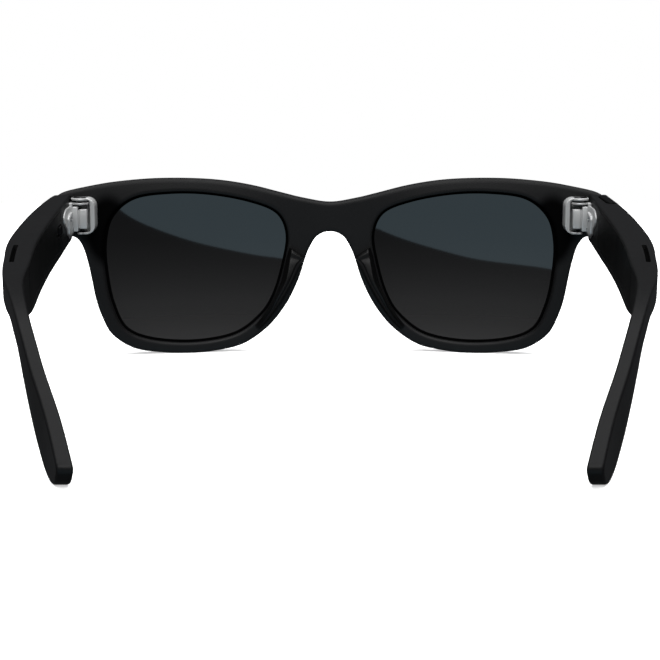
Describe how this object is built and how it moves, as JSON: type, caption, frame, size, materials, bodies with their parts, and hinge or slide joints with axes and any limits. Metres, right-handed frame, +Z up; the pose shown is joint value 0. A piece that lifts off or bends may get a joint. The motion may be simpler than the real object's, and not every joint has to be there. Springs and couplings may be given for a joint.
{
  "type": "smart glasses",
  "caption": "Thick-rimmed smart glasses with dark lenses, round camera and capture-light windows, and folding temples that hold speakers, a battery and a main board.",
  "frame": {"origin": "on the table, under the middle of the glasses' box as they stand open on the lower rims and the temple tips", "axes": "+Y the way the wearer looks, +Z up, +X to the wearer's right"},
  "size_m": [0.1488, 0.1538, 0.0471],
  "materials": {
    "frame_plastic": "fine matt moulded black",
    "cover_plastic": "fine matt moulded black",
    "lens_tint": "dark tint, darker at the top",
    "window_black": "smoked clear",
    "module_black": "matt black",
    "lamp_white": "diffuse white",
    "steel": "satin",
    "gold_plate": "bright plated",
    "flex_film": "amber polyimide film",
    "hinge_chrome": "polished",
    "mesh_black": "fine woven mesh",
    "cell_foil": "satin foil pouch",
    "board_green": "solder mask green",
    "control_black": "satin black",
    "seal_rubber": "soft black"
  },
  "bodies": {
    "front": {"front_frame": "frame_plastic", "rear_frame": "frame_plastic", "lens_left": "lens_tint", "lens_right": "lens_tint", "nose_pad_left": "frame_plastic", "nose_pad_right": "frame_plastic", "camera_window": "window_black", "camera_module": "module_black", "light_window": "window_black", "light_module": "lamp_white", "bridge_microphone": "steel", "charging_contacts": "gold_plate", "front_flex": "flex_film", "hinge_bracket_left": "hinge_chrome", "hinge_bracket_right": "hinge_chrome", "hinge_pin_left": "steel", "hinge_pin_right": "steel", "bracket_screws": "steel"},
    "left_temple": {"temple_shell_left": "frame_plastic", "temple_cover_left": "cover_plastic", "hinge_knuckle_left": "hinge_chrome", "knuckle_screws_left": "steel", "speaker_left": "steel", "speaker_mesh_left": "mesh_black", "microphone_left": "steel", "temple_flex_left": "flex_film", "battery": "cell_foil", "switch_contacts": "module_black"},
    "right_temple": {"temple_shell_right": "frame_plastic", "temple_cover_right": "cover_plastic", "hinge_knuckle_right": "hinge_chrome", "knuckle_screws_right": "steel", "speaker_right": "steel", "speaker_mesh_right": "mesh_black", "microphone_right": "steel", "temple_flex_right": "flex_film", "main_board": "board_green", "chip_shield": "steel", "antenna": "gold_plate", "touch_sensor": "flex_film", "button_switch": "steel", "button_seal": "seal_rubber"},
    "power_switch": {"power_switch": "control_black"},
    "capture_button": {"capture_button": "control_black"}
  },
  "joints": [
    {"name": "left_fold", "type": "hinge", "parent": "front", "child": "left_temple", "pos_m": [-0.065, 0.05887, 0.038], "axis": [0, 0, 1], "range_deg": [0, 85]},
    {"name": "right_fold", "type": "hinge", "parent": "front", "child": "right_temple", "pos_m": [0.065, 0.05887, 0.038], "axis": [0, 0, -1], "range_deg": [0, 75]},
    {"name": "capture_button_press", "type": "slide", "parent": "right_temple", "child": "capture_button", "axis": [0, 0.1045, -0.9945], "range_m": [0, 0.0004], "stiffness_N_per_m": 1500, "springref_m": -0.0002},
    {"name": "power_switch_slide", "type": "slide", "parent": "left_temple", "child": "power_switch", "axis": [0, -0.9945, -0.1045], "range_m": [0, 0.002]}
  ]
}
